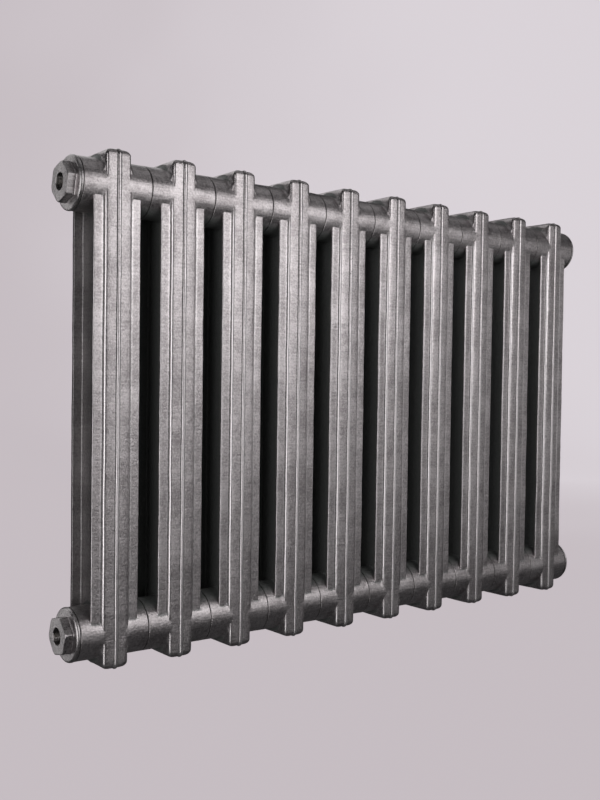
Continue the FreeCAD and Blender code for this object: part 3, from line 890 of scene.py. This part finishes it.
def section_iron():
    """Burnished iron outside, casting skin and painted shade in recesses and inner corners, and
    edges rubbed brighter, partly as a painted highlight.

    Skin and painted shade are left where the distance from a corner plus some mottle is small, or
    in a recess. The tone is a weighted sum of mottle, cloud and grinding lines. Smooth places lose
    bump and mottle.
    """
    tree = Tree("section iron")
    mottle = tree.noise(420, detail=4.0, rough=0.62)
    cloud = tree.noise(28, detail=3.0)
    grind = tree.noise(480, stretch=(0.06, 0.06, 1.0), detail=2.0)
    # Casting skin and painted shade go where corner distance plus mottle is small, or in a recess.
    corner = tree.math("ADD", tree.value("corner_mm"), tree.math("MULTIPLY", mottle, 1.2))
    open_face = tree.step(corner, 0.7, 1.9)
    no_recess = tree.math("SUBTRACT", 1.0, tree.value("recess"))
    ground_and_unshaded = tree.math("MULTIPLY", open_face, no_recess, clamp=True)
    # Wear and painted highlight: a brighter tone on rubbed edges and on the bead.
    wear = tree.math("MULTIPLY", tree.value("worn_and_highlight"), tree.step(mottle, 0.25, 0.6, 0.75, 1.0))
    tone = tree.math("ADD", tree.math("MULTIPLY", mottle, 0.48), tree.math("MULTIPLY", cloud, 0.34))
    tone = tree.math("ADD", tone, tree.math("MULTIPLY", grind, 0.18))
    ground = tree.mix(tree.step(tone, 0.37, 0.63), GROUND_DULL, GROUND_CLEAR)
    bright = tree.mix(wear, ground, WORN_AND_HIGHLIGHT_BRIGHT)
    # Dark tone of the casting skin, which is also the painted shade in corners and recesses.
    skin = tree.mix(mottle, SKIN_AND_SHADE_DARK, SKIN_AND_SHADE_PALE)
    tree.put(tree.mix(ground_and_unshaded, skin, bright), tree.shader.inputs["Base Color"])
    tree.put(tree.step(ground_and_unshaded, 0.0, 1.0, 0.4, 1.0), tree.shader.inputs["Metallic"])
    unsmoothed = tree.math("SUBTRACT", 1.0, tree.math("MULTIPLY", tree.value("smooth"), 0.92))
    uneven = tree.math("MULTIPLY", mottle, unsmoothed)
    rough = tree.math("ADD", tree.math("MULTIPLY", uneven, 0.20), 0.26)
    rough = tree.math("ADD", rough, tree.math("MULTIPLY", wear, 0.05))
    skin_and_shade_share = tree.math("SUBTRACT", 1.0, ground_and_unshaded)
    rough = tree.math("ADD", rough, tree.math("MULTIPLY", skin_and_shade_share, 0.08))
    tree.put(rough, tree.shader.inputs["Roughness"])
    fine = tree.bump(mottle, MOTTLE_BUMP, tree.math("MULTIPLY", unsmoothed, 0.35))
    lines = tree.bump(grind, GRIND_BUMP, tree.math("MULTIPLY", unsmoothed, 0.25), after=fine)
    tree.put(lines, tree.shader.inputs["Normal"])
    return tree.material


def paint(pieces, material):
    """Give pieces one material in place of what they have."""
    for piece in pieces:
        piece.data.materials.clear()
        piece.data.materials.append(material)


paint(section_pieces, section_iron())
print("the sections are painted")

# %% [markdown]
# ## The finish of the small pieces
# Bushes and plugs are turned on a lathe, which leaves rings round the axis. One noise along the
# distance from the axis draws them, and it needs no map either. A bore stays dark, because light
# doesn't get far into it. Nipples are hidden in the joints but still get their oiled, rusty iron,
# and the gaskets their rubbed fibre.

# %% The fittings' iron
TURNED_DULL, TURNED_CLEAR = (0.31, 0.290, 0.293, 1), (0.56, 0.526, 0.532, 1)
BORE_DARK = (0.06, 0.055, 0.05, 1)


def fitting_iron():
    """Turned grey iron: rings left by the tool, fine mottle, and a dark bore."""
    tree = Tree("fitting iron")
    rings = tree.nodes.new("ShaderNodeTexNoise")
    rings.noise_dimensions = "1D"
    tree.put(tree.value("turned_mm"), rings.inputs["W"])
    rings.inputs["Scale"].default_value = 2.6
    mottle = tree.noise(500, detail=4.0, rough=0.6)
    ring_tone = tree.math("MULTIPLY", rings.outputs[0], 0.3)
    tone = tree.math("ADD", tree.math("MULTIPLY", mottle, 0.7), ring_tone)
    outside = tree.mix(tree.step(tone, 0.35, 0.65), TURNED_DULL, TURNED_CLEAR)
    colour = tree.mix(tree.value("in_bore"), outside, BORE_DARK)
    tree.put(colour, tree.shader.inputs["Base Color"])
    tree.shader.inputs["Metallic"].default_value = 1.0
    tree.put(tree.step(mottle, 0.3, 0.7, 0.26, 0.40), tree.shader.inputs["Roughness"])
    fine = tree.bump(mottle, 0.0006, 0.25)
    tree.put(tree.bump(rings.outputs[0], 0.0004, 0.3, after=fine), tree.shader.inputs["Normal"])
    return tree.material


paint(fitting_pieces, fitting_iron())
print("the fittings are painted")

# %% The nipples and the gaskets
NIPPLE_OILED, NIPPLE_RUSTY = (0.10, 0.095, 0.09, 1), (0.26, 0.15, 0.09, 1)
FIBRE_DARK, FIBRE_PALE = (0.012, 0.012, 0.012, 1), (0.06, 0.056, 0.052, 1)


def nipple_iron():
    """Malleable iron, oiled and slightly rusty."""
    tree = Tree("nipple iron")
    mottle = tree.noise(300, detail=5.0, rough=0.65)
    colour = tree.mix(tree.step(mottle, 0.4, 0.65), NIPPLE_OILED, NIPPLE_RUSTY)
    tree.put(colour, tree.shader.inputs["Base Color"])
    tree.put(tree.step(mottle, 0.4, 0.65, 0.9, 0.3), tree.shader.inputs["Metallic"])
    tree.put(tree.step(mottle, 0.3, 0.7, 0.35, 0.6), tree.shader.inputs["Roughness"])
    tree.put(tree.bump(mottle, 0.0006, 0.3), tree.shader.inputs["Normal"])
    return tree.material


def gasket_fibre():
    """Dark graphite-rubbed fibre, streaked round the ring."""
    tree = Tree("gasket fibre")
    fibres = tree.noise(900, stretch=(2.0, 0.6, 0.6), detail=4.0)
    tree.put(tree.mix(fibres, FIBRE_DARK, FIBRE_PALE), tree.shader.inputs["Base Color"])
    tree.put(tree.step(fibres, 0.3, 0.7, 0.62, 0.85), tree.shader.inputs["Roughness"])
    tree.put(tree.bump(fibres, 0.0005, 0.5), tree.shader.inputs["Normal"])
    return tree.material


paint([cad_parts[name] for name in NIPPLES], nipple_iron())
paint(gasket_pieces, gasket_fibre())
print("the nipples and gaskets are painted")

# %% [markdown]
# ## The floor
# The floor is a shallow bowl, so that it runs up into a plain backdrop on every side. Lights that
# model the metal would leave patches on a floor that they reach. So the floor gives off a soft
# pale tone of its own, scatters next to nothing and is left out of mirror images.

# %% The floor
FLAT_RADIUS, RISE_RADIUS, WALL_TOP = 2.3, 1.2, 2.6
FLAT_RINGS = 10


def bowl_shape():
    """A profile turned round the vertical: flat, then a quarter circle up, then a wall."""
    arc = np.linspace(0, math.pi / 2, 16)[1:]
    outer = FLAT_RADIUS + RISE_RADIUS
    radius = np.concatenate([np.linspace(0, FLAT_RADIUS, FLAT_RINGS),
                             FLAT_RADIUS + RISE_RADIUS * np.sin(arc), [outer]])
    z = np.concatenate([np.zeros(FLAT_RINGS), RISE_RADIUS * (1 - np.cos(arc)), [WALL_TOP]])
    angle = np.linspace(0, 2 * math.pi, ROUND_COLUMNS, endpoint=False)
    grid = np.stack([radius[:, None] * np.cos(angle), radius[:, None] * np.sin(angle),
                     np.broadcast_to(z[:, None], (len(z), ROUND_COLUMNS))], axis=-1)
    quads, _, _ = grid_faces(len(z), ROUND_COLUMNS)
    mesh = bpy.data.meshes.new("floor")
    mesh.from_pydata(grid.reshape(-1, 3).tolist(), [], quads.tolist())
    mesh.shade_smooth()
    return mesh


floor = add_object("floor", bowl_shape())
floor.visible_glossy = False
floor.visible_shadow = False
floor.visible_diffuse = False
print("floor of", len(floor.data.polygons), "faces")

# %% The floor's tone
FLOOR_DIM = (0.56, 0.507, 0.537, 1)
FLOOR_BRIGHT = (0.70, 0.652, 0.69, 1)
NEARLY_BLACK = (0.01, 0.01, 0.01, 1)


def floor_tone():
    """Painted light: a pale glowing tone that brightens slowly along +X.

    A broad cloud makes it uneven.
    """
    tree = Tree("floor")
    tree.shader.inputs["Base Color"].default_value = NEARLY_BLACK
    tree.shader.inputs["Specular IOR Level"].default_value = 0.0
    tree.shader.inputs["Roughness"].default_value = 1.0
    apart = tree.nodes.new("ShaderNodeSeparateXYZ")
    tree.put(tree.place, apart.inputs[0])
    share = tree.math("ADD", apart.outputs[0], tree.noise(1.2, detail=1.0))
    tone = tree.mix(tree.step(share, 0.9, 3.3), FLOOR_DIM, FLOOR_BRIGHT)
    tree.put(tone, tree.shader.inputs["Emission Color"])
    tree.shader.inputs["Emission Strength"].default_value = 1.0
    return tree.material


paint([floor], floor_tone())
print("the floor is painted")

# %% [markdown]
# ## Light and surroundings
# Bare metal mostly shows what it mirrors, so where the lights stand matters more than how strong
# they are. The panels face -Y and mirror what stands in front and to the right: a large soft light
# there, high up, makes them pale at the top, and weaker ones keep the lower half grey. Others
# stand at the front left, at the right, behind and overhead, so that flanks, top and back can be
# read as well. The sections' left flanks stay dark, as they would beside an unlit corner, while
# the end fittings are pale. So two lights on the left are linked to the fittings alone.


# %% The lights
def area_light(name, place, size, energy, toward):
    """Rectangular light, seen by the metal but not by the camera. Its width is level.

    It stands at a place and shines along a direction, with its height as near +Z as that allows.
    """
    data = bpy.data.lights.new(name, "AREA")
    data.shape = "RECTANGLE"
    data.size, data.size_y = size
    data.energy = energy
    light = bpy.data.objects.new(name, data)
    bpy.context.scene.collection.objects.link(light)
    turn_toward = Vector(toward).to_track_quat("-Z", "Y").to_matrix().to_4x4()
    light.matrix_world = Matrix.Translation(place) @ turn_toward
    light.visible_camera = False
    return light


area_light("high front light", (0.38, -1.12, 0.80), (1.16, 0.84), 6.2, (0, 1, 0))
area_light("low front light", (0.0, -1.12, 0.20), (0.50, 0.60), 0.85, (0, 1, 0))
area_light("low right light", (1.25, -1.12, 0.16), (1.3, 0.60), 0.95, (0, 1, 0))
area_light("far right light", (1.80, -1.12, 0.70), (0.60, 0.60), 0.5, (0, 1, 0))
area_light("front left light", (-1.30, -0.80, 0.27), (0.50, 1.30), 4.5, (1.0, 0.75, 0))
area_light("rear right light", (1.4, 1.5, 0.50), (1.8, 1.2), 9.0, (-0.7, -1.1, 0))
area_light("right light", (1.9, 0.0, 0.40), (0.9, 0.9), 2.0, (-1, 0, 0))
area_light("overhead light", (0.4, -0.1, 1.9), (2.6, 0.8), 2.2, (0, 0, -1))
left = area_light("left light", (-1.65, -0.25, 0.30), (0.55, 1.30), 4.6, (1, 0.15, 0))
rear_left = area_light("rear left light", (-1.08, 1.15, 0.25), (0.34, 1.50), 1.9, (0.6, -1.1, 0))
area_light("rear light", (-0.3, 1.5, 1.75), (2.4, 1.2), 7.0, (0, -1, -0.6))
print(len(bpy.data.lights), "soft lights")

# %% What the left lights reach, and the surroundings
SURROUNDINGS_TONE = (0.20, 0.20, 0.205, 1)
SURROUNDINGS_STRENGTH = 0.25
lit_from_left = bpy.data.collections.new("what the left lights reach")
for piece in fitting_pieces:
    lit_from_left.objects.link(piece)
for light in (left, rear_left):
    light.light_linking.receiver_collection = lit_from_left
bpy.context.scene.view_settings.view_transform = "Standard"
world = bpy.data.worlds.new("surroundings")
bpy.context.scene.world = world
world.use_nodes = True
background = world.node_tree.nodes["Background"]
background.inputs["Color"].default_value = SURROUNDINGS_TONE
background.inputs["Strength"].default_value = SURROUNDINGS_STRENGTH
